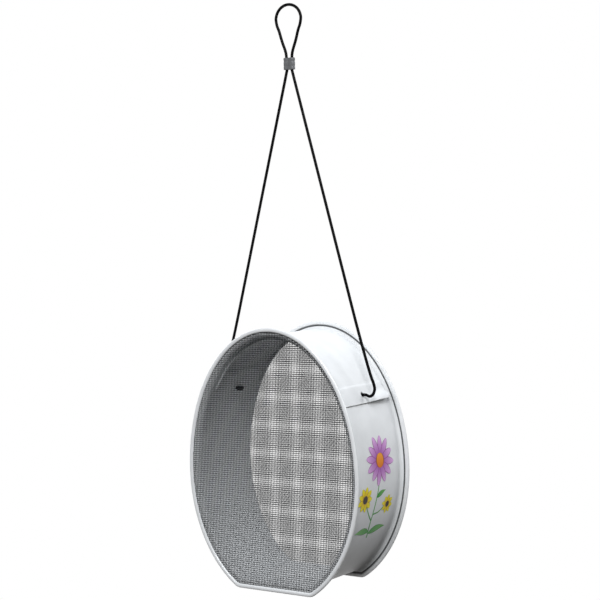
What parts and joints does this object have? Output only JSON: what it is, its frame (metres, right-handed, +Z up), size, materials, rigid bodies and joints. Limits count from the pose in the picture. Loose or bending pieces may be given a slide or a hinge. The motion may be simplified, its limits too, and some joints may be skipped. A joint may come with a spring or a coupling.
{
  "type": "nyjer seed feeder",
  "caption": "Hanging nyjer seed feeder: an oval white sheet-steel drum with a woven wire screen on each wide side, a lift-up curved lid and a looped carrying cable.",
  "frame": {"origin": "inside of the top of the cable loop, where a hook carries the feeder", "axes": "+Z up, the two screened faces look along Y with the front one at -Y, the cable's holes lie along X"},
  "size_m": [0.205, 0.1, 0.5897],
  "materials": {
    "white_powder_coat": "smooth satin white powder coat on sheet steel",
    "woven_wire": "dull galvanised steel wire, plain square weave",
    "cable_coating": "black plastic coating on a thin steel cable",
    "ferrule_aluminium": "plain crimped aluminium"
  },
  "bodies": {
    "hanger": {"hanging_cable": "cable_coating", "ferrule": "ferrule_aluminium", "cable_stop_left": "cable_coating", "cable_stop_right": "cable_coating"},
    "drum": {"drum_band": "white_powder_coat", "front_rim": "white_powder_coat", "rear_rim": "white_powder_coat", "front_screen": "woven_wire", "rear_screen": "woven_wire"},
    "lid": {"lid": "white_powder_coat"}
  },
  "joints": [
    {"name": "drum_tilt", "type": "hinge", "parent": "hanger", "child": "drum", "pos_m": [0, 0, -0.3892], "axis": [1, 0, 0], "range_deg": [-60, 60]},
    {"name": "lid_lift", "type": "slide", "parent": "drum", "child": "lid", "axis": [0, 0, 1], "range_m": [0, 0.06], "deforming": ["hanging_cable"]}
  ]
}
